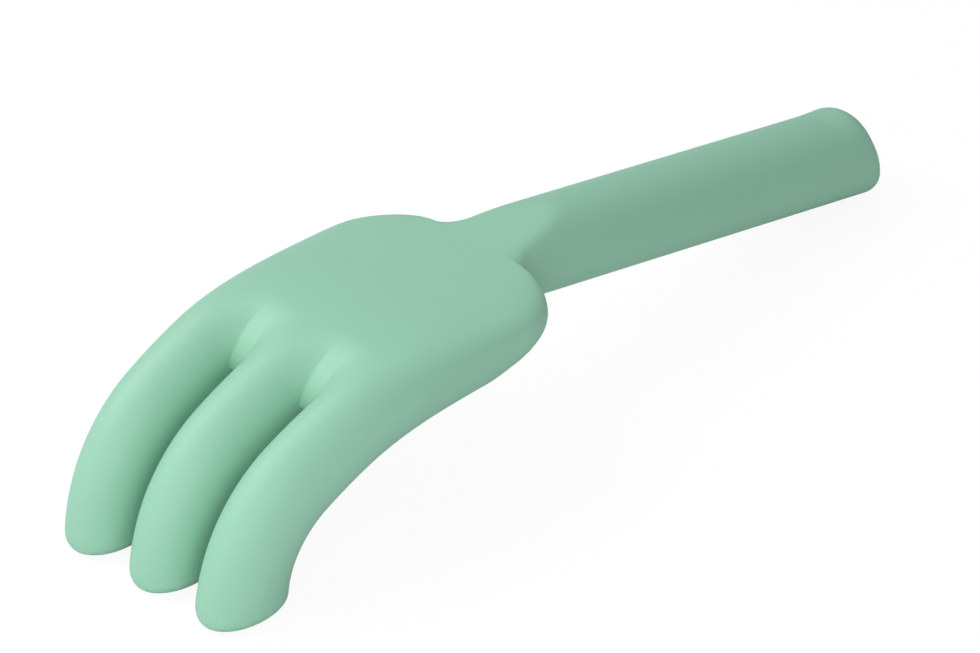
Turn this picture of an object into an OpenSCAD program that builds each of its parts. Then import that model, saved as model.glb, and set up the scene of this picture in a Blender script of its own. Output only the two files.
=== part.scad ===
// Sand rake: a hollow moulded hand rake with three curved fingers.
// The body follows a bent centre line, the spine, that lies in the XZ plane. It runs from the butt of
// the handle, through the palm, to the fingertips. X runs the same way, Y across and Z up from the floor.
// Each cross-section has a width, a crown above the parting line and a belly below it.
// Two shells meet on the parting line, the widest line of the body, and are welded there.

/* [Handle] */
// Length of the handle along its axis, from the butt to the neck
handle_length = 139.3; // [120:0.1:160]
// Width of the handle
handle_w = 25.5; // [22:0.5:30]
// Height of the handle's top above the parting line
handle_crown = 12.5; // [10:0.5:15]
// Depth of the handle's underside below the parting line
handle_belly = 8.5; // [7:0.5:12]
// Slope of the handle, which rises towards the palm, in degrees
handle_tilt = 12.05; // [8:0.05:16]
// Squareness of the handle's section, where 2 is an ellipse
handle_squareness = 2.1; // [2:0.1:4]
// Rounding of the rim at the butt
butt_r = 5.5; // [4:0.5:8]
// Lean of the butt's end face from square, in degrees
butt_lean = 13; // [0:1:20]
// Length of handle over which that lean fades out
butt_lean_run = 40; // [30:1:60]
// Rise of the lip on top of the butt
butt_lip = 1.6; // [0.4:0.2:4]
// Length of the slope up to that lip
butt_lip_run = 12; // [11:0.5:18]
// Width of the lip
butt_lip_w = 20.5; // [14:0.5:22]

/* [Palm] */
// Length of the palm along the spine, from the neck to the ends of the finger gaps
palm_length = 67.5; // [58:0.5:80]
// Width of the palm behind the fingers
palm_w = 64; // [58:0.5:70]
// Height of the palm's back above the parting line
palm_crown = 6.3; // [5:0.1:10]
// Depth of the palm's underside below the parting line
palm_belly = 15; // [10:0.5:16]
// Squareness of the palm's back
palm_back_squareness = 3; // [2:0.1:4]
// Squareness of the palm's underside
palm_under_squareness = 3.3; // [2:0.1:4]
// Length of each shoulder along the spine
shoulder_length = 15; // [12:0.5:24]
// Squareness of the shoulders, seen from above
shoulder_squareness = 1.85; // [1.8:0.05:3]
// Radius of the hollow where a shoulder meets the handle
neck_fillet = 8.8; // [4:0.1:10]
// Length of the flat that runs from the handle's top to the palm's back
flat_run = 40; // [34:1:50]
// How far before the neck that flat starts
flat_lead = 26.4; // [18:0.1:34]
// Softness of the flat's edge on the handle
flat_edge = 0.6; // [0.2:0.1:1.5]
// Softness of the flat's edge on the palm
flat_soft_edge = 3.9; // [2:0.1:5]
// Length over which the flat runs out at its end on the palm
flat_fade = 11.7; // [6:0.1:15]
// How far before the neck the crown starts to fall to the palm's back
crown_fall_lead = 9.5; // [4:0.5:14]
// How far before the neck the underside starts to deepen
belly_fall_lead = 3.9; // [2:0.1:12]
// How far past the neck the crown and the underside reach the palm's height and depth
rise_run = 25.4; // [18:0.1:30]
// How far before the ends of the finger gaps the palm starts to swell to the fingers' depth
swell_lead = 42.2; // [30:0.1:46]

/* [Bends] */
// Straight run from the neck to the start of the palm's bend
bend_delay = 6; // [2:0.5:12]
// Angle of the palm's bend, in degrees
palm_bend = 38; // [30:0.1:45]
// Radius of the fingers' bend along the spine
finger_bend_r = 30.5; // [26:0.5:40]
// Angle of the fingers' bend, in degrees
finger_bend = 42; // [34:1:48]
// Radius of the last bend, which brings the tips upright
tip_bend_r = 34.5; // [28:0.5:45]

/* [Fingers] */
// Distance between the middles of neighbouring fingers at their roots
finger_pitch = 23.7; // [22.5:0.1:26]
// Distance between the middles of neighbouring fingertips
fingertip_pitch = 21.7; // [21.5:0.1:26]
// Width of a finger at its root
finger_root_w = 18.7; // [16:0.1:19]
// Width of a finger at its tip
finger_tip_w = 17.1; // [15:0.1:18]
// Height of a finger's back above the parting line at its root
finger_root_crown = 9.7; // [8:0.1:13]
// Height of a finger's back above the parting line at its tip
finger_tip_crown = 12.2; // [9:0.1:14]
// Depth of a finger's inner side below the parting line at its root
finger_root_belly = 10.4; // [8:0.1:13]
// Depth of a finger's inner side below the parting line at its tip
finger_tip_belly = 12.8; // [9:0.1:14]
// Length of a finger from its gap's end to the start of the fingers' bend
knuckle_run = 16; // [12:0.5:22]
// Length of the scoop at the end of each finger gap
scoop_length = 17; // [10:0.5:22]
// Squareness of the scoop, seen from the side, where 1 is a straight slope
scoop_squareness = 1.46; // [1.2:0.02:2]
// Softness of the ridge where a scoop meets the fingers, where more is sharper
gap_softness = 2.25; // [1.5:0.05:4]
// Rounding of the rim at a fingertip
tip_r = 3.5; // [3:0.1:6]

/* [Shells] */
// Thickness of the moulded walls
wall = 2.6; // [2:0.1:3]
// Height of the lap joint along the rims
lap_height = 1.6; // [1:0.1:2]
// Thickness of the upper shell's leaf in the lap joint
lap_leaf = 1.2; // [0.8:0.1:1.6]
// Play between the rims in the lap joint
weld_gap = 0.1; // [0.05:0.05:0.3]

/* [Locating pins] */
// Diameter of a locating pin
pin_d = 4; // [3:0.5:5]
// Length of a pin above its post
pin_length = 4.5; // [3:0.5:5]
// Play all round a pin in its socket
pin_play = 0.15; // [0.1:0.05:0.3]
// Free depth past a pin's end in its socket
socket_spare = 0.6; // [0.4:0.1:1]
// Wall round a socket
socket_wall = 1.6; // [1.2:0.1:2]

/* [Hidden] */
// One strip of skin for each finger, from the far side to the near side
strips = [-1, 0, 1];
strip_steps = 8;
columns = len(strips) * (strip_steps + 1);

// Steps along each stretch of the body
butt_steps = 4;
lip_steps = 2;
handle_steps = 3;
flat_steps = 5;
fillet_steps = 3;
shoulder_steps = 6;
palm_steps = 4;
scoop_steps = 6;
finger_steps = 12;
tip_steps = 3;

// Places of the pins along the handle, and in each finger past its gap's end
handle_pin_shares = [0.22, 0.62];
finger_pin_share = 0.3;
// Share of a rounding that is kept inside where the wall is thicker than it
least_round_share = 0.2;
// Squareness of an ellipse
round_squareness = 2;
plastic_colour = "#9ccdb4";

// Stretches of the spine
palm_at = handle_length + bend_delay;
tip_bend = handle_tilt + 90 - palm_bend - finger_bend;
palm_run = palm_length - bend_delay + knuckle_run;
palm_bend_r = palm_run / (palm_bend * PI / 180);
finger_at = palm_at + palm_run;
finger_run = arc_run(finger_bend_r, finger_bend);
tip_at = finger_at + finger_run;
tip_run = arc_run(tip_bend_r, tip_bend);
spine_length = tip_at + tip_run;
gap_at = handle_length + palm_length;
scoop_at = gap_at - scoop_length;
shoulder_end = handle_length + shoulder_length;
fillet_at = handle_length - neck_fillet;
flat_at = handle_length - flat_lead;
flat_end = flat_at + flat_run;
crown_fall_at = handle_length - crown_fall_lead;
belly_fall_at = handle_length - belly_fall_lead;
rise_end = handle_length + rise_run;
swell_at = gap_at - swell_lead;

// The origin lies on the floor under the middle of the length
butt_point = bare_spine(0);
tip_point = bare_spine(spine_length);
middle_x = (butt_point.x + tip_point.x + finger_tip_crown) / 2;

function arc_run(radius, angle) = radius * angle * PI / 180;
function blend(from, to, share) = from + (to - from) * share;
function within(value, low, high) = max(low, min(high, value));
function ease(share) = let (t = within(share, 0, 1)) t * t * (3 - 2 * t);
// Share of the way from one place on the spine to another, eased at both ends
function eased(s, from, to) = ease((s - from) / (to - from));
// The lesser of two heights, with their crossing rounded off
function soft_min(a, b, softness) =
    let (d = max(0, softness - abs(a - b)))
    min(a, b) - d * d / (4 * softness);
// Height of a rounded arch of unit height and unit half-width
function arch(place, squareness) = pow(max(0, 1 - pow(abs(place), squareness)), 1 / squareness);

// Angle turned through by the spine at s in a bend
function turned(s, start, run, radius) = within(s - start, 0, run) / radius * 180 / PI;
function heading_1(s) = handle_tilt - turned(s, palm_at, palm_run, palm_bend_r);
function heading_2(s) = heading_1(s) - turned(s, finger_at, finger_run, finger_bend_r);
function heading(s) = heading_2(s) - turned(s, tip_at, tip_run, tip_bend_r);
function bare_spine(s) =
    let (h1 = heading_1(s), h2 = heading_2(s), h3 = heading(s))
    min(s, palm_at) * [cos(handle_tilt), 0, sin(handle_tilt)]
    + palm_bend_r * [sin(handle_tilt) - sin(h1), 0, cos(h1) - cos(handle_tilt)]
    + finger_bend_r * [sin(h1) - sin(h2), 0, cos(h2) - cos(h1)]
    + tip_bend_r * [sin(h2) - sin(h3), 0, cos(h3) - cos(h2)];
function spine(s) = bare_spine(s) - [middle_x, 0, tip_point.z];

// Sizes of a finger at s
function finger_share(s) = within((s - scoop_at) / (spine_length - scoop_at), 0, 1);
function finger_half(s, depth) = blend(finger_root_w, finger_tip_w, finger_share(s)) / 2 - depth;
function pitch(s) = blend(finger_pitch, fingertip_pitch, finger_share(s));
function finger_height(s, side) =
    side > 0 ? blend(finger_root_crown, finger_tip_crown, finger_share(s))
             : blend(finger_root_belly, finger_tip_belly, finger_share(s));

// Half-width of the handle and palm at s, on the skin or at a depth below it
function half_width(s, depth) =
    let (grip = handle_w / 2 - depth,
         fillet = neck_fillet + depth,
         palm = palm_w / 2 - depth,
         shoulder_at = handle_length + depth)
    s <= fillet_at ? grip
    : s <= shoulder_at ? grip + fillet * (1 - arch((s - fillet_at) / fillet, round_squareness))
    : s <= shoulder_end ?
        blend(grip + fillet, palm,
              arch((shoulder_end - s) / (shoulder_end - shoulder_at), shoulder_squareness))
    : blend(palm, pitch(s) + finger_half(s, depth),
            ease((s - shoulder_end) / (gap_at - depth - shoulder_end)));

// Height of the skin in the middle of the body at s, without the flat
function body_height(s, side) =
    let (body = side > 0 ? blend(handle_crown, palm_crown, eased(s, crown_fall_at, rise_end))
                         : blend(handle_belly, palm_belly, eased(s, belly_fall_at, rise_end)))
    blend(body, finger_height(s, side), eased(s, swell_at, gap_at));
// Share of that height at a share of the half-width: an arch, which turns into a level
// back with its two sides rounded like the outer fingers
function body_arch(s, share, side) =
    let (palm_squareness = side > 0 ? palm_back_squareness : palm_under_squareness,
         squareness = blend(handle_squareness, palm_squareness, eased(s, belly_fall_at, rise_end)),
         ridge = pitch(s) / (pitch(s) + finger_half(s, 0)),
         past_ridge = max(0, abs(share) - ridge) / (1 - ridge))
    blend(arch(share, squareness), arch(past_ridge, round_squareness), eased(s, shoulder_end, gap_at));

// Height of the flat at s, which cuts the crown off from the handle's top to the palm's back
function flat_height(s) =
    let (past_flat = sqrt(pow(flat_end - s, 2) + pow(flat_fade, 2)) - flat_fade)
    palm_crown + (handle_crown - palm_crown) * past_flat / (flat_run - flat_fade);
// Rise of the lip on top of the butt
function lip_height(s, share) =
    butt_lip * max(0, 1 - s / butt_lip_run) * max(0, 1 - pow(share * handle_w / butt_lip_w, 2));
// Height of the skin at s, at a share of the half-width, without the finger gaps
function body_skin(s, share, cut, side) =
    let (arched = (body_height(s, side) - cut) * body_arch(s, share, side),
         flat = flat_height(s) - cut,
         edge = blend(flat_edge, flat_soft_edge, eased(s, flat_at, flat_end)))
    side < 0 || s > scoop_at ? arched
    : max(0, soft_min(arched, flat, min(edge, flat))) + lip_height(s, share);

// Rows of the skin, each with its place on the spine and the inset of its outline
function inner_r(radius, depth) = max(radius - depth, radius * least_round_share);
function stretch(from, to, steps) = [for (i = [1:steps]) [blend(from, to, i / steps), 0]];
function rows(depth) =
    let (butt = inner_r(butt_r, depth),
         tip = inner_r(tip_r, depth),
         tip_end = spine_length - depth,
         fillet = neck_fillet + depth,
         shoulder_at = handle_length + depth)
    concat(
        [for (i = [0:butt_steps]) let (a = 90 * i / butt_steps)
            [depth + butt * (1 - cos(a)), butt * (1 - sin(a))]],
        stretch(depth + butt, butt_lip_run, lip_steps),
        stretch(butt_lip_run, flat_at, handle_steps),
        stretch(flat_at, fillet_at, flat_steps),
        [for (i = [1:fillet_steps]) let (a = 90 * i / fillet_steps) [fillet_at + fillet * sin(a), 0]],
        [for (i = [1:shoulder_steps]) let (a = 90 * i / shoulder_steps)
            [blend(shoulder_at, shoulder_end, 1 - cos(a)), 0]],
        stretch(shoulder_end, scoop_at - depth, palm_steps),
        [for (i = [1:scoop_steps]) let (a = 90 * i / scoop_steps)
            [blend(scoop_at, gap_at, sin(a)) - depth, 0]],
        stretch(gap_at - depth, tip_end - tip, finger_steps),
        [for (i = [1:tip_steps]) let (a = 90 * i / tip_steps)
            [tip_end - tip * (1 - sin(a)), tip * (1 - cos(a))]]);
grip_steps = butt_steps + lip_steps + handle_steps + flat_steps;
gap_row = 1 + grip_steps + fillet_steps + shoulder_steps + palm_steps + scoop_steps;
last_row = gap_row + finger_steps + tip_steps + 1;

// Point of the skin in one column, on the side above (1) or below (-1) the parting line.
// Points on the rim of a shell are set at a given lift from the parting line instead.
function skin_point(row, strip, place, depth, side, on_rim, lift) =
    let (s = row[0],
         inset = row[1],
         half = finger_half(s, depth),
         share = (strip * pitch(s) + half * place) / (pitch(s) + half),
         in_gap = (s - scoop_at + depth) / scoop_length,
         faces_gap = abs(strip + sign(place)) < len(strips) - 1,
         finger = pow(arch(faces_gap ? place : 0, round_squareness), gap_softness),
         scoop = pow(arch(within(in_gap, 0, 1), scoop_squareness), gap_softness),
         y = in_gap >= 1 ? strip * pitch(s) + (half - inset) * place
                         : share * (half_width(s, depth) - inset),
         gap_share = pow(finger + scoop - finger * scoop, 1 / gap_softness),
         n = on_rim ? lift : side * body_skin(s, share, depth + inset, side) * gap_share,
         along = tan(butt_lean) * n * (1 - ease(s / butt_lean_run)),
         h = heading(s))
    spine(s) + [along * cos(h) - n * sin(h), y, along * sin(h) + n * cos(h)];

// Grid of points: a row for the end face of the butt, the rows of the skin, a row for the fingertips' ends
function strip_edge(c) = c % (strip_steps + 1) == 0 || c % (strip_steps + 1) == strip_steps;
function on_rim(r, c) =
    r == 0 || r == last_row || c == 0 || c == columns - 1 || (r >= gap_row && strip_edge(c));
function grid_point(skin_rows, r, c, depth, side, lift) =
    let (row = skin_rows[within(r - 1, 0, len(skin_rows) - 1)],
         strip = strips[floor(c / (strip_steps + 1))],
         place = -cos(180 * (c % (strip_steps + 1)) / strip_steps))
    skin_point(row, strip, place, depth, side, on_rim(r, c), lift);
function grid(depth, side, lift) =
    let (skin_rows = rows(depth))
    [for (r = [0:last_row]) for (c = [0:columns - 1]) grid_point(skin_rows, r, c, depth, side, lift)];
function cell(r, c) =
    r == 0 && (c == 0 || c == columns - 1) ? columns + c
    : r == last_row && strip_edge(c) ? (last_row - 1) * columns + c
    : r * columns + c;

// Triangles of a grid, and the cells of its rim in order round the outline
function is_web(c) = c % (strip_steps + 1) == strip_steps;
function whole(t) = t[0] != t[1] && t[1] != t[2] && t[2] != t[0];
function flipped(t, flip) = flip ? [t[0], t[2], t[1]] : t;
function grid_faces(base, flip) =
    [for (r = [0:last_row - 1]) for (c = [0:columns - 2]) if (!is_web(c) || r < gap_row)
        for (t = [[cell(r, c), cell(r + 1, c + 1), cell(r + 1, c)],
                  [cell(r, c), cell(r, c + 1), cell(r + 1, c + 1)]])
            if (whole(t)) flipped([for (i = t) base + i], flip)];
function finger_rim(k) =
    let (first = k * (strip_steps + 1), last = first + strip_steps)
    concat(
        [for (r = [(k == 0 ? 1 : gap_row):last_row - 1]) [r, first]],
        [for (c = [first + 1:last - 1]) [last_row, c]],
        [for (r = [last_row - 1:-1:(k == len(strips) - 1 ? 1 : gap_row)]) [r, last]]);
rim = concat(
    [for (k = [0:len(strips) - 1]) each finger_rim(k)],
    [for (c = [columns - 2:-1:1]) [0, c]]);

// Points of a loop along the rim, at a share of the way through the wall
function rim_loop(side, share, lift) =
    let (outer_rows = rows(0), inner_rows = rows(wall))
    [for (e = rim) blend(grid_point(outer_rows, e[0], e[1], 0, side, lift),
                         grid_point(inner_rows, e[0], e[1], wall, side, lift), share)];
function loop_faces(from, to, flip) =
    let (count = len(rim))
    [for (i = [0:count - 1]) let (j = (i + 1) % count)
        for (t = [[from[i], from[j], to[j]], [from[i], to[j], to[i]]]) flipped(t, flip)];

// A shell between the skin and its inside, with a stepped rim
module shell(side, leaf, outer_lift, inner_lift) {
    count = (last_row + 1) * columns;
    loops = 2 * count;
    outer_rim = [for (e = rim) cell(e[0], e[1])];
    inner_rim = [for (i = outer_rim) count + i];
    step_low = [for (i = [0:len(rim) - 1]) loops + i];
    step_high = [for (i = step_low) i + len(rim)];
    points = concat(
        grid(0, side, outer_lift),
        grid(wall, side, inner_lift),
        rim_loop(side, leaf / wall, outer_lift),
        rim_loop(side, leaf / wall, inner_lift));
    faces = concat(
        grid_faces(0, side < 0),
        grid_faces(count, side > 0),
        loop_faces(outer_rim, step_low, side < 0),
        loop_faces(step_low, step_high, side < 0),
        loop_faces(step_high, inner_rim, side < 0));
    polyhedron(points, faces, convexity = 8);
}

// Places of the locating pins, as distance along the spine and across
finger_pin_at = gap_at + finger_pin_share * (spine_length - gap_at);
pin_places = concat(
    [for (share = handle_pin_shares) [share * handle_length, 0]],
    [for (strip = strips) [finger_pin_at, strip * pitch(finger_pin_at)]]);
socket_r = pin_d / 2 + pin_play;
post_r = socket_r + socket_wall;

// Puts children on the parting line at a place, with their Z square to the spine
module at_place(place) {
    translate(spine(place[0]) + [0, place[1], 0])
        rotate([0, -heading(place[0]), 0])
            children();
}

// Handle top, palm back and finger backs, with the sockets for the locating pins
module upper_shell() {
    color(plastic_colour)
        difference() {
            union() {
                shell(1, lap_leaf, weld_gap, lap_height + weld_gap);
                for (place = pin_places)
                    at_place(place)
                        translate([0, 0, weld_gap])
                            cylinder(r = post_r, h = body_height(place[0], 1) - wall / 2 - weld_gap);
            }
            for (place = pin_places)
                at_place(place)
                    cylinder(r = socket_r, h = pin_length + socket_spare);
        }
}

// Handle underside, palm hollow and inner finger faces, with the locating pins on their posts
module lower_shell() {
    color(plastic_colour)
        union() {
            shell(-1, lap_leaf + weld_gap, 0, lap_height);
            for (place = pin_places)
                at_place(place) {
                    post = body_height(place[0], -1) - wall / 2;
                    translate([0, 0, -post])
                        cylinder(r = post_r, h = post);
                    translate([0, 0, -post])
                        cylinder(r = pin_d / 2, h = post + pin_length);
                }
        }
}

upper_shell();
lower_shell();
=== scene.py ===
import math

import bpy
import numpy as np
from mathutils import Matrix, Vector


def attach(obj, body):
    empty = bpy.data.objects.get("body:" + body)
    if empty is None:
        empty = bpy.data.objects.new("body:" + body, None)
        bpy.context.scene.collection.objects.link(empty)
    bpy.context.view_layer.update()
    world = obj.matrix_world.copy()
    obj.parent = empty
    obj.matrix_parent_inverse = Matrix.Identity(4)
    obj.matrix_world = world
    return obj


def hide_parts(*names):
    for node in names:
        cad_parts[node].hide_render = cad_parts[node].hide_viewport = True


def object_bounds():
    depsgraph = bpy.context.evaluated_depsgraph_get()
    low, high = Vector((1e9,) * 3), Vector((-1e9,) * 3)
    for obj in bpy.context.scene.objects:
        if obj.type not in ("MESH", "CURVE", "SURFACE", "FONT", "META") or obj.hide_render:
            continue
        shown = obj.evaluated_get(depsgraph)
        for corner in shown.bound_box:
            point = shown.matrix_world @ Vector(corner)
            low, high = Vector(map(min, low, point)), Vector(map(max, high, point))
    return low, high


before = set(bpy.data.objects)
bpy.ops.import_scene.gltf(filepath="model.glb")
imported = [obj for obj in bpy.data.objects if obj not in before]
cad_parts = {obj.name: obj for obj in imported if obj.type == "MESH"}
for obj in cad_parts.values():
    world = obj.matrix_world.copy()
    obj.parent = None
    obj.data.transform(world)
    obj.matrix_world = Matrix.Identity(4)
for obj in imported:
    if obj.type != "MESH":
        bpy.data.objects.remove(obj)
cad_low, cad_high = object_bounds()

# Upper shell
# The top half of the hollow rake: the handle's top, the palm's back and the backs of the three fingers.
# It is moulded in one shot of satin mint plastic and ends on the widest line of the body, all round,
# where it is welded to the lower shell.

# The body follows a bent centre line, the spine, from the butt of the handle to the fingertips
handle_length = 0.1393
handle_tilt = math.radians(12.05)
palm_length = 0.0675
bend_delay = 0.006
palm_bend = math.radians(38)
knuckle_run = 0.016
finger_bend = math.radians(42)
finger_bend_r = 0.0305
tip_bend_r = 0.0345
upright = math.radians(90)
tip_bend = handle_tilt + upright - palm_bend - finger_bend
palm_at = handle_length + bend_delay
palm_run = palm_length - bend_delay + knuckle_run
palm_bend_r = palm_run / palm_bend
finger_at = palm_at + palm_run
finger_run = finger_bend_r * finger_bend
tip_at = finger_at + finger_run
tip_run = tip_bend_r * tip_bend
spine_length = tip_at + tip_run
gap_at = handle_length + palm_length

# The handle, with the lip on top of its butt
handle_w = 0.0255
handle_crown = 0.0125
handle_belly = 0.0085
handle_squareness = 2.1
butt_r = 0.0055
butt_lean = math.radians(13)
butt_lean_run = 0.04
butt_lip = 0.0016
butt_lip_run = 0.012
butt_lip_w = 0.0205

# The palm, its shoulders, and the flat that runs from the handle's top to the palm's back
palm_w = 0.064
palm_crown = 0.0063
palm_belly = 0.015
palm_back_squareness = 3
palm_under_squareness = 3.3
shoulder_length = 0.015
shoulder_squareness = 1.85
shoulder_end = handle_length + shoulder_length
neck_fillet = 0.0088
fillet_at = handle_length - neck_fillet
flat_run = 0.04
flat_lead = 0.0264
flat_at = handle_length - flat_lead
flat_end = flat_at + flat_run
flat_edge = 0.0006
flat_soft_edge = 0.0039
flat_fade = 0.0117
rise_run = 0.0254
rise_end = handle_length + rise_run
crown_fall_lead = 0.0095
crown_fall_at = handle_length - crown_fall_lead
belly_fall_lead = 0.0039
belly_fall_at = handle_length - belly_fall_lead

# The fingers, from root to tip, and the scoops at the ends of the gaps between them
finger_pitch = (0.0237, 0.0217)
finger_w = (0.0187, 0.0171)
finger_crown = (0.0097, 0.0122)
finger_belly = (0.0104, 0.0128)
scoop_length = 0.017
scoop_at = gap_at - scoop_length
scoop_squareness = 1.46
gap_softness = 2.25
swell_lead = 0.0422
swell_at = gap_at - swell_lead
tip_r = 0.0035

# The moulded wall, and the share of a rounding that is kept inside where the wall is thicker than it
wall = 0.0026
least_round_share = 0.2
round_squareness = 2


def blend(start, end, share):
    return start + (end - start) * share


def ease(share):
    t = np.clip(share, 0, 1)
    return t * t * (3 - 2 * t)


def arch(place, squareness):
    """Height of a rounded arch of unit height and unit half-width."""
    return np.maximum(0, 1 - np.abs(place) ** squareness) ** (1 / squareness)


def soft_min(a, b, softness):
    """The lesser of two heights, with their crossing rounded off."""
    d = np.maximum(0, softness - np.abs(a - b))
    return np.minimum(a, b) - d * d / (4 * softness)


def headings(s):
    """Slope of the spine at s, with its bends counted up to the palm's, the fingers' and the tips'."""
    palm = handle_tilt - np.clip(s - palm_at, 0, palm_run) / palm_bend_r
    finger = palm - np.clip(s - finger_at, 0, finger_run) / finger_bend_r
    tip = finger - np.clip(s - tip_at, 0, tip_run) / tip_bend_r
    return palm, finger, tip


def spine(s):
    """Distance along X and height of the spine at s, measured from its start at the butt."""
    palm, finger, tip = headings(s)
    straight = np.minimum(s, palm_at)
    x = straight * np.cos(handle_tilt) + palm_bend_r * (np.sin(handle_tilt) - np.sin(palm))
    x = x + finger_bend_r * (np.sin(palm) - np.sin(finger)) + tip_bend_r * (np.sin(finger) - np.sin(tip))
    z = straight * np.sin(handle_tilt) + palm_bend_r * (np.cos(palm) - np.cos(handle_tilt))
    z = z + finger_bend_r * (np.cos(finger) - np.cos(palm)) + tip_bend_r * (np.cos(tip) - np.cos(finger))
    return x, z


# The middle of the length lies over the origin, and the fingertips stand on the floor
tip_x, tip_z = spine(spine_length)
middle_x = (tip_x + finger_crown[1]) / 2


def along_finger(root_and_tip, s):
    """A size of the fingers at s, between its values at the root and at the tip."""
    return blend(*root_and_tip, np.clip((s - scoop_at) / (spine_length - scoop_at), 0, 1))


def half_width(s, depth):
    """Half-width of the handle and palm at s, on the skin or at a depth below it."""
    grip = handle_w / 2 - depth
    palm = palm_w / 2 - depth
    fillet = neck_fillet + depth
    shoulder_at = handle_length + depth
    neck = grip + fillet * (1 - arch(np.clip((s - fillet_at) / fillet, 0, 1), round_squareness))
    to_shoulder_end = np.clip((shoulder_end - s) / (shoulder_end - shoulder_at), 0, 1)
    shoulder = blend(grip + fillet, palm, arch(to_shoulder_end, shoulder_squareness))
    fingers = along_finger(finger_pitch, s) + along_finger(finger_w, s) / 2 - depth
    knuckles = blend(palm, fingers, ease((s - shoulder_end) / (gap_at - depth - shoulder_end)))
    return np.where(s <= shoulder_at, neck, np.where(s <= shoulder_end, shoulder, knuckles))


def body_skin(s, share, cut, side):
    """Height of the skin at s, at a share of the half-width, without the gaps between the fingers."""
    to_palm = ease((s - belly_fall_at) / (rise_end - belly_fall_at))
    to_knuckles = ease((s - shoulder_end) / (gap_at - shoulder_end))
    swell = ease((s - swell_at) / (gap_at - swell_at))
    if side > 0:
        squareness = blend(handle_squareness, palm_back_squareness, to_palm)
        crown_fall = ease((s - crown_fall_at) / (rise_end - crown_fall_at))
        height = blend(blend(handle_crown, palm_crown, crown_fall), along_finger(finger_crown, s), swell)
    else:
        squareness = blend(handle_squareness, palm_under_squareness, to_palm)
        height = blend(blend(handle_belly, palm_belly, to_palm), along_finger(finger_belly, s), swell)
    ridge = along_finger(finger_pitch, s) / (along_finger(finger_pitch, s) + along_finger(finger_w, s) / 2)
    knuckles = arch(np.maximum(0, np.abs(share) - ridge) / (1 - ridge), round_squareness)
    arched = (height - cut) * blend(arch(share, squareness), knuckles, to_knuckles)
    if side < 0:
        return arched
    past_flat = np.sqrt((flat_end - s) ** 2 + flat_fade ** 2) - flat_fade
    flat = palm_crown + (handle_crown - palm_crown) * past_flat / (flat_run - flat_fade)
    edge = blend(flat_edge, flat_soft_edge, ease((s - flat_at) / flat_run))
    lip_slope = butt_lip * np.maximum(0, 1 - s / butt_lip_run)
    lip = lip_slope * np.maximum(0, 1 - (share * handle_w / butt_lip_w) ** 2)
    flat = flat - cut
    planed = np.maximum(0, soft_min(arched, flat, np.minimum(edge, flat)))
    return np.where(s > scoop_at, arched, planed + lip)


# Steps of the skin along the body, and across each finger and each web between two fingers
butt_steps = 10
lip_steps = 14
handle_steps = 34
flat_steps = 44
fillet_steps = 6
shoulder_steps = 18
palm_steps = 24
scoop_steps = 20
finger_steps = 46
tip_steps = 8
strip_steps = 24
web_steps = 6
grip_steps = butt_steps + lip_steps + handle_steps + flat_steps
gap_row = 1 + grip_steps + fillet_steps + shoulder_steps + palm_steps + scoop_steps


def even(steps):
    """Even shares of the way from one row to another, up to 1."""
    return np.arange(1, steps + 1) / steps


def turns(steps):
    """Even angles up to a quarter turn."""
    return np.radians(90 * np.arange(1, steps + 1) / steps)


def skin_rows(depth):
    """Places of the rows along the spine, and the inset of each row's outline at the two rounded ends."""
    butt = max(butt_r - depth, butt_r * least_round_share)
    tip = max(tip_r - depth, tip_r * least_round_share)
    tip_end = spine_length - depth
    shoulder_at = handle_length + depth
    places = (
        [depth, depth],
        depth + butt * (1 - np.cos(turns(butt_steps))),
        blend(depth + butt, butt_lip_run, 1 - (1 - even(lip_steps)) ** 2),
        blend(butt_lip_run, flat_at, even(handle_steps) ** 2),
        blend(flat_at, fillet_at, even(flat_steps)),
        fillet_at + (neck_fillet + depth) * np.sin(turns(fillet_steps)),
        blend(shoulder_at, shoulder_end, 1 - np.cos(turns(shoulder_steps))),
        blend(shoulder_end, scoop_at - depth, even(palm_steps)),
        blend(scoop_at, gap_at, np.sin(turns(scoop_steps))) - depth,
        blend(gap_at - depth, tip_end - tip, even(finger_steps)),
        tip_end - tip * (1 - np.sin(turns(tip_steps))),
        [tip_end])
    s = np.concatenate(places)
    inset = np.zeros_like(s)
    inset[:2] = butt
    inset[2:butt_steps + 2] = butt * (1 - np.sin(turns(butt_steps)))
    inset[-tip_steps - 1:-1] = tip * (1 - np.cos(turns(tip_steps)))
    inset[-1] = tip
    return s[:, None], inset[:, None]


# Columns of the skin: each finger has a strip of its own, and webs join the strips in the handle and palm
strips = (-1, 0, 1)
columns = []
for strip in strips:
    columns += [(strip, -math.cos(math.pi * i / strip_steps), 0) for i in range(strip_steps + 1)]
    if strip != strips[-1]:
        columns += [(strip, 1, i / web_steps) for i in range(1, web_steps)]
column_strip, column_place, column_web = np.array(columns, float).T
column_faces_gap = np.abs(column_strip + np.sign(column_place)) < len(strips) - 1


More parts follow.
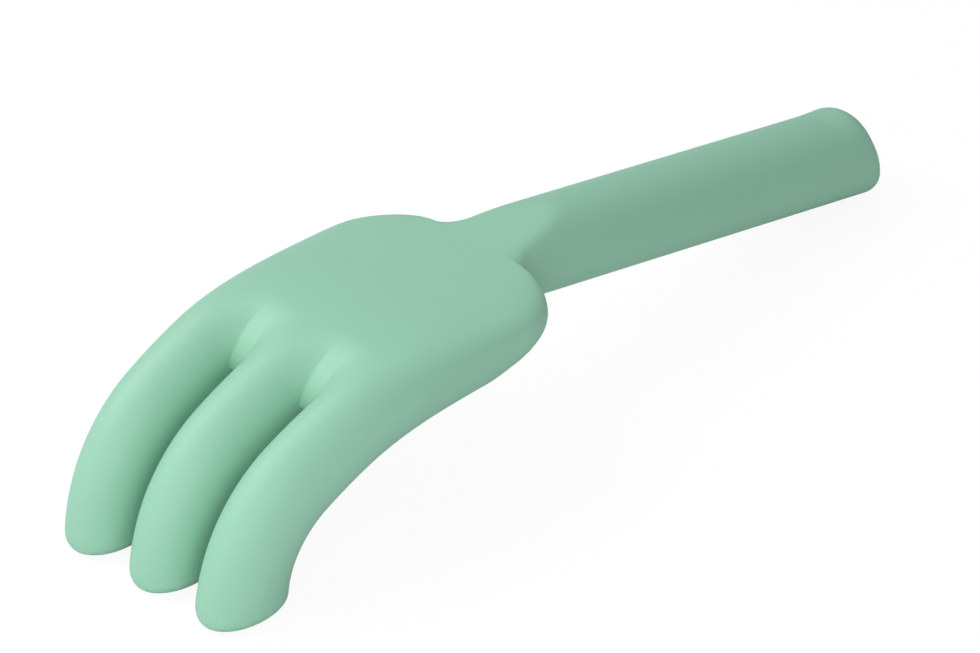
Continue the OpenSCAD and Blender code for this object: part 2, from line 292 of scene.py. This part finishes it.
def skin(depth, side):
    """Points of the skin above or below the widest line, on which its first and last row close the ends."""
    s, inset = skin_rows(depth)
    row = np.arange(len(s))[:, None]
    pitch = along_finger(finger_pitch, s)
    half = along_finger(finger_w, s) / 2 - depth
    share = (column_strip * pitch + half * column_place + column_web * (pitch - 2 * half)) / (pitch + half)
    body_y = share * (half_width(s, depth) - inset)
    y = np.where(row > gap_row, column_strip * pitch + (half - inset) * column_place, body_y)
    finger = arch(column_place * column_faces_gap, round_squareness) ** gap_softness
    scoop = arch(np.clip((s - scoop_at + depth) / scoop_length, 0, 1), scoop_squareness) ** gap_softness
    gap_share = (finger + scoop - finger * scoop) ** (1 / gap_softness)
    n = side * body_skin(s, share, depth + inset, side) * gap_share
    n[[0, -1]] = 0
    along = math.tan(butt_lean) * n * (1 - ease(s / butt_lean_run))
    turn = headings(s)[-1]
    x, z = spine(s)
    points = np.stack([
        x - middle_x + along * np.cos(turn) - n * np.sin(turn),
        y,
        z - tip_z + along * np.sin(turn) + n * np.cos(turn)], axis=-1)
    return points.reshape(-1, 3)


# The skin's cells, with the points that fall together at the corners of the ends taken as one
row_count = len(skin_rows(0)[0])
column_count = len(columns)
merge_digits = 8
first_at = {}
merged = []
for index, point in enumerate(skin(0, 1).round(merge_digits).tolist()):
    merged.append(first_at.setdefault(tuple(point), index))
cells = []
for row in range(row_count - 1):
    for column in range(column_count - 1):
        is_web = column_web[column] > 0 or column_web[column + 1] > 0
        if is_web and row >= gap_row:
            continue
        corner = row * column_count + column
        ring = [merged[i] for i in (corner, corner + column_count, corner + column_count + 1, corner + 1)]
        ring = [i for k, i in enumerate(ring) if i != ring[k - 1]]
        if len(ring) > 2:
            cells.append(tuple(ring))

# The rim: the edges of cells that no second cell shares, which lie on the widest line of the body
edges = {(ring[k - 1], ring[k]) for ring in cells for k in range(len(ring))}
rim = sorted(edge for edge in edges if edge[::-1] not in edges)
on_rim = {index for edge in rim for index in edge}


def smooth_body_normals():
    """Normals of the skin, taken with both halves joined, so that the light runs on across the weld."""
    point_count = row_count * column_count
    below = [index if index in on_rim else index + point_count for index in range(point_count)]
    body = bpy.data.meshes.new("body")
    points = np.concatenate([skin(0, 1), skin(0, -1)]).tolist()
    body.from_pydata(points, [], cells + [tuple(below[i] for i in reversed(ring)) for ring in cells])
    normals = np.array([normal.vector for normal in body.vertex_normals])
    bpy.data.meshes.remove(body)
    return normals[:point_count], normals[below]


upper_normals, lower_normals = smooth_body_normals()


def shell(name, side, normals):
    """A closed shell: the skin, its inside one wall below, and the rim between them."""
    outer, inner = skin(0, side), skin(wall, side)
    skin_cells = [ring[::side] for ring in cells]
    inside_cells = [tuple(i + len(outer) for i in reversed(ring)) for ring in skin_cells]
    rim_cells = [(b, a, a + len(outer), b + len(outer))[::side] for a, b in rim]
    used = sorted({i for ring in skin_cells + inside_cells for i in ring})
    place_of = {index: place for place, index in enumerate(used)}
    points = np.concatenate([outer, inner])[used]
    faces = [[place_of[i] for i in ring] for ring in skin_cells + inside_cells + rim_cells]
    mesh = bpy.data.meshes.new(name)
    mesh.from_pydata(points.tolist(), [], faces)
    mesh.shade_smooth()
    loop_normals = np.zeros((len(mesh.loops), 3))
    skin_loops = [i for ring in skin_cells for i in ring]
    loop_normals[:len(skin_loops)] = normals[skin_loops]
    mesh.normals_split_custom_set(loop_normals.tolist())
    piece = bpy.data.objects.new(name, mesh)
    bpy.context.scene.collection.objects.link(piece)
    return piece


upper_shell = shell("upper_shell_moulding", 1, upper_normals)


def add_node(tree, kind, x, y, **settings):
    """Puts a node in a tree at a place on its sheet, with its settings."""
    node = tree.nodes.new(kind)
    node.location = (x, y)
    for name, value in settings.items():
        setattr(node, name, value)
    return node


# The grain and the flow of the plastic
grains_per_metre = 2200
grain_detail = 2
flows_per_metre = 22
flow_detail = 3


def moulded_grain_group():
    """The mould's fine grain, and the soft differences that the flow of the plastic leaves."""
    tree = bpy.data.node_groups.new("moulded_grain", "ShaderNodeTree")
    size = tree.interface.new_socket("Grains per metre", in_out="INPUT", socket_type="NodeSocketFloat")
    size.default_value = grains_per_metre
    flow_size = tree.interface.new_socket("Flows per metre", in_out="INPUT", socket_type="NodeSocketFloat")
    flow_size.default_value = flows_per_metre
    for output in ("Grain", "Flow"):
        tree.interface.new_socket(output, in_out="OUTPUT", socket_type="NodeSocketFloat")
    inputs = add_node(tree, "NodeGroupInput", -600, 0)
    where = add_node(tree, "ShaderNodeTexCoord", -600, 200)
    grain = add_node(tree, "ShaderNodeTexNoise", -300, 200)
    grain.inputs["Detail"].default_value = grain_detail
    flow = add_node(tree, "ShaderNodeTexNoise", -300, -100)
    flow.inputs["Detail"].default_value = flow_detail
    outputs = add_node(tree, "NodeGroupOutput", 0, 0)
    tree.links.new(where.outputs["Object"], grain.inputs["Vector"])
    tree.links.new(where.outputs["Object"], flow.inputs["Vector"])
    tree.links.new(inputs.outputs["Grains per metre"], grain.inputs["Scale"])
    tree.links.new(inputs.outputs["Flows per metre"], flow.inputs["Scale"])
    tree.links.new(grain.outputs["Fac"], outputs.inputs["Grain"])
    tree.links.new(flow.outputs["Fac"], outputs.inputs["Flow"])
    return tree


# The scuffs: how many to a metre along, across and up, and the part of their noise that shows
scuffs_per_metre = (60, 900, 260)
scuff_detail = 4
scuff_start = 0.58
scuff_full = 0.72
upper_scuff_height = 0.012


def sand_scuffs_group():
    """Fine scuffs from sand, along the length, which show on what touches the ground and fade upwards."""
    tree = bpy.data.node_groups.new("sand_scuffs", "ShaderNodeTree")
    height = tree.interface.new_socket("Height", in_out="INPUT", socket_type="NodeSocketFloat")
    height.default_value = upper_scuff_height
    tree.interface.new_socket("Mask", in_out="OUTPUT", socket_type="NodeSocketFloat")
    inputs = add_node(tree, "NodeGroupInput", -900, -200)
    where = add_node(tree, "ShaderNodeTexCoord", -900, 100)
    stretch = add_node(tree, "ShaderNodeMapping", -700, 100)
    stretch.inputs["Scale"].default_value = scuffs_per_metre
    lines = add_node(tree, "ShaderNodeTexNoise", -500, 100)
    lines.inputs["Scale"].default_value = 1
    lines.inputs["Detail"].default_value = scuff_detail
    pick = add_node(tree, "ShaderNodeMapRange", -300, 100)
    pick.inputs["From Min"].default_value = scuff_start
    pick.inputs["From Max"].default_value = scuff_full
    split = add_node(tree, "ShaderNodeSeparateXYZ", -700, -200)
    low = add_node(tree, "ShaderNodeMapRange", -300, -200)
    low.inputs["To Min"].default_value = 1
    low.inputs["To Max"].default_value = 0
    both = add_node(tree, "ShaderNodeMath", -100, 0, operation="MULTIPLY")
    outputs = add_node(tree, "NodeGroupOutput", 100, 0)
    tree.links.new(where.outputs["Object"], stretch.inputs["Vector"])
    tree.links.new(stretch.outputs["Vector"], lines.inputs["Vector"])
    tree.links.new(lines.outputs["Fac"], pick.inputs["Value"])
    tree.links.new(where.outputs["Object"], split.inputs["Vector"])
    tree.links.new(split.outputs["Z"], low.inputs["Value"])
    tree.links.new(inputs.outputs["Height"], low.inputs["From Max"])
    tree.links.new(pick.outputs["Result"], both.inputs[0])
    tree.links.new(low.outputs["Result"], both.inputs[1])
    tree.links.new(both.outputs["Value"], outputs.inputs["Mask"])
    return tree


moulded_grain = moulded_grain_group()
sand_scuffs = sand_scuffs_group()

# Colours of the plastic, linear, and how it shines
mint = (0.290, 0.572, 0.427, 1)
mint_thin_flow = (0.300, 0.584, 0.439, 1)
mint_scuffed = (0.34, 0.6, 0.46, 1)
plastic_ior = 1.46
mint_shine = 0.5
mint_gloss = 0.5
mint_gloss_spread = 0.08
scuffed_gloss = 0.7
grain_depth = 0.00003


def mint_plastic(name, scuff_height):
    """Satin mint plastic, coloured through, with the mould's grain and scuffs up to a height."""
    plastic = bpy.data.materials.new(name)
    plastic.use_nodes = True
    tree = plastic.node_tree
    surface = tree.nodes["Principled BSDF"]
    surface.inputs["IOR"].default_value = plastic_ior
    surface.inputs["Specular IOR Level"].default_value = mint_shine
    grain = add_node(tree, "ShaderNodeGroup", -900, 100, node_tree=moulded_grain)
    scuffs = add_node(tree, "ShaderNodeGroup", -900, -200, node_tree=sand_scuffs)
    scuffs.inputs["Height"].default_value = scuff_height
    tone = add_node(tree, "ShaderNodeMix", -600, 300, data_type="RGBA")
    tone.inputs["A"].default_value = mint
    tone.inputs["B"].default_value = mint_thin_flow
    worn_tone = add_node(tree, "ShaderNodeMix", -300, 300, data_type="RGBA")
    worn_tone.inputs["B"].default_value = mint_scuffed
    gloss = add_node(tree, "ShaderNodeMapRange", -600, 0)
    gloss.inputs["To Min"].default_value = mint_gloss - mint_gloss_spread / 2
    gloss.inputs["To Max"].default_value = mint_gloss + mint_gloss_spread / 2
    worn_gloss = add_node(tree, "ShaderNodeMix", -300, 0, data_type="FLOAT")
    worn_gloss.inputs["B"].default_value = scuffed_gloss
    relief = add_node(tree, "ShaderNodeBump", -300, -300)
    relief.inputs["Distance"].default_value = grain_depth
    tree.links.new(grain.outputs["Flow"], tone.inputs["Factor"])
    tree.links.new(tone.outputs["Result"], worn_tone.inputs["A"])
    tree.links.new(scuffs.outputs["Mask"], worn_tone.inputs["Factor"])
    tree.links.new(worn_tone.outputs["Result"], surface.inputs["Base Color"])
    tree.links.new(grain.outputs["Flow"], gloss.inputs["Value"])
    tree.links.new(gloss.outputs["Result"], worn_gloss.inputs["A"])
    tree.links.new(scuffs.outputs["Mask"], worn_gloss.inputs["Factor"])
    tree.links.new(worn_gloss.outputs["Result"], surface.inputs["Roughness"])
    tree.links.new(grain.outputs["Grain"], relief.inputs["Height"])
    tree.links.new(relief.outputs["Normal"], surface.inputs["Normal"])
    return plastic


upper_shell.data.materials.append(mint_plastic("upper_plastic", upper_scuff_height))
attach(upper_shell, "root")
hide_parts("upper_shell")

# Lower shell
# The bottom half: the handle's underside, the hollow of the palm and the inner faces of the fingers.
# It is moulded from the same plastic and welded to the upper shell along the widest line.

lower_scuff_height = 0.02
lower_shell = shell("lower_shell_moulding", -1, lower_normals)
lower_shell.data.materials.append(mint_plastic("lower_plastic", lower_scuff_height))
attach(lower_shell, "root")
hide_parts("lower_shell")

# Camera
# A long lens looks down on the rake from beside the fingers, with the handle running away to the right.

image_w, image_h = 980, 653
azimuth = math.radians(133.86)
elevation = math.radians(33.34)
distance = 1.65
sensor_mm = 36
view_depth = 20
pixels_per_metre = 4186
middle_px = (509.9, 295.6)
centre = (cad_low + cad_high) / 2
towards_camera = Vector((
    math.sin(azimuth) * math.cos(elevation),
    -math.cos(azimuth) * math.cos(elevation),
    math.sin(elevation)))
lens = bpy.data.cameras.new("camera")
lens.sensor_width = sensor_mm
lens.lens = sensor_mm * pixels_per_metre * distance / image_w
lens.shift_x = (image_w / 2 - middle_px[0]) / image_w
lens.shift_y = (middle_px[1] - image_h / 2) / image_w
lens.clip_end = view_depth
camera = bpy.data.objects.new("camera", lens)
camera.location = centre + towards_camera * distance
camera.rotation_euler = towards_camera.to_track_quat("Z", "Y").to_euler()
bpy.context.scene.collection.objects.link(camera)
bpy.context.scene.camera = camera

# Studio floor
# A wide matt white sheet under the rake. It shows white, with the rake's soft shadow on it.

floor_half = 4
floor_seen = (0.12, 0.12, 0.12, 1)
floor_seen_glow = 0.9
floor_pale = (0.8, 0.8, 0.8, 1)
floor_mesh = bpy.data.meshes.new("floor")
floor_corners = [(x * floor_half, y * floor_half, 0) for x, y in ((-1, -1), (1, -1), (1, 1), (-1, 1))]
floor_mesh.from_pydata(floor_corners, [], [(0, 1, 2, 3)])
floor = bpy.data.objects.new("floor", floor_mesh)
bpy.context.scene.collection.objects.link(floor)
sheet = bpy.data.materials.new("floor_sheet")
sheet.use_nodes = True
tree = sheet.node_tree
tree.nodes.remove(tree.nodes["Principled BSDF"])
rays = add_node(tree, "ShaderNodeLightPath", -900, 200)
tone = add_node(tree, "ShaderNodeMix", -600, 200, data_type="RGBA")
tone.inputs["A"].default_value = floor_pale
tone.inputs["B"].default_value = floor_seen
level = add_node(tree, "ShaderNodeMath", -600, -100, operation="MULTIPLY")
level.inputs[1].default_value = floor_seen_glow
matt = add_node(tree, "ShaderNodeBsdfDiffuse", -300, 200)
glow = add_node(tree, "ShaderNodeEmission", -300, -100)
lit = add_node(tree, "ShaderNodeAddShader", -100, 0)
tree.links.new(rays.outputs["Is Camera Ray"], tone.inputs["Factor"])
tree.links.new(rays.outputs["Is Camera Ray"], level.inputs[0])
tree.links.new(tone.outputs["Result"], matt.inputs["Color"])
tree.links.new(level.outputs["Value"], glow.inputs["Strength"])
tree.links.new(matt.outputs["BSDF"], lit.inputs[0])
tree.links.new(glow.outputs["Emission"], lit.inputs[1])
tree.links.new(lit.outputs["Shader"], tree.nodes["Material Output"].inputs["Surface"])
floor_mesh.materials.append(sheet)

# Studio light
# A soft box stands high behind the rake, one bounce sheet stands near the camera and one in front of
# the fingers, and pale walls fill the shadows from all round.

# Each lamp has a direction from the rake, a distance and a size in metres, and a power in watts
lamp_colour = (1, 0.99, 0.97)
lamps = (
    ("soft_box", (0.3, -0.6, 0.75), 0.6, 0.5, 2.26),
    ("camera_bounce", (0.66, 0.58, 0.4), 0.5, 0.26, 0.62),
    ("front_bounce", (1, 0.1, 0.2), 0.45, 0.3, 0.28))
for name, direction, reach, size, power in lamps:
    lamp = bpy.data.lights.new(name, "AREA")
    lamp.shape = "SQUARE"
    lamp.size = size
    lamp.energy = power
    lamp.color = lamp_colour
    stand = bpy.data.objects.new(name, lamp)
    towards_lamp = Vector(direction).normalized()
    stand.location = centre + towards_lamp * reach
    stand.rotation_euler = towards_lamp.to_track_quat("Z", "Y").to_euler()
    bpy.context.scene.collection.objects.link(stand)
wall_level = 0.47
wall_colour = (0.97, 1, 0.98, 1)
backdrop_white = (1, 1, 1, 1)
walls = bpy.data.worlds.new("pale_walls")
walls.use_nodes = True
bpy.context.scene.world = walls
tree = walls.node_tree
fill = tree.nodes["Background"]
fill.inputs["Color"].default_value = wall_colour
fill.inputs["Strength"].default_value = wall_level
rays = add_node(tree, "ShaderNodeLightPath", -200, 500)
white = add_node(tree, "ShaderNodeBackground", -200, -200)
white.inputs["Color"].default_value = backdrop_white
shown = add_node(tree, "ShaderNodeMixShader", 0, 100)
tree.links.new(rays.outputs["Is Camera Ray"], shown.inputs["Fac"])
tree.links.new(fill.outputs["Background"], shown.inputs[1])
tree.links.new(white.outputs["Background"], shown.inputs[2])
tree.links.new(shown.outputs["Shader"], tree.nodes["World Output"].inputs["Surface"])
bpy.context.scene.view_settings.view_transform = "Standard"
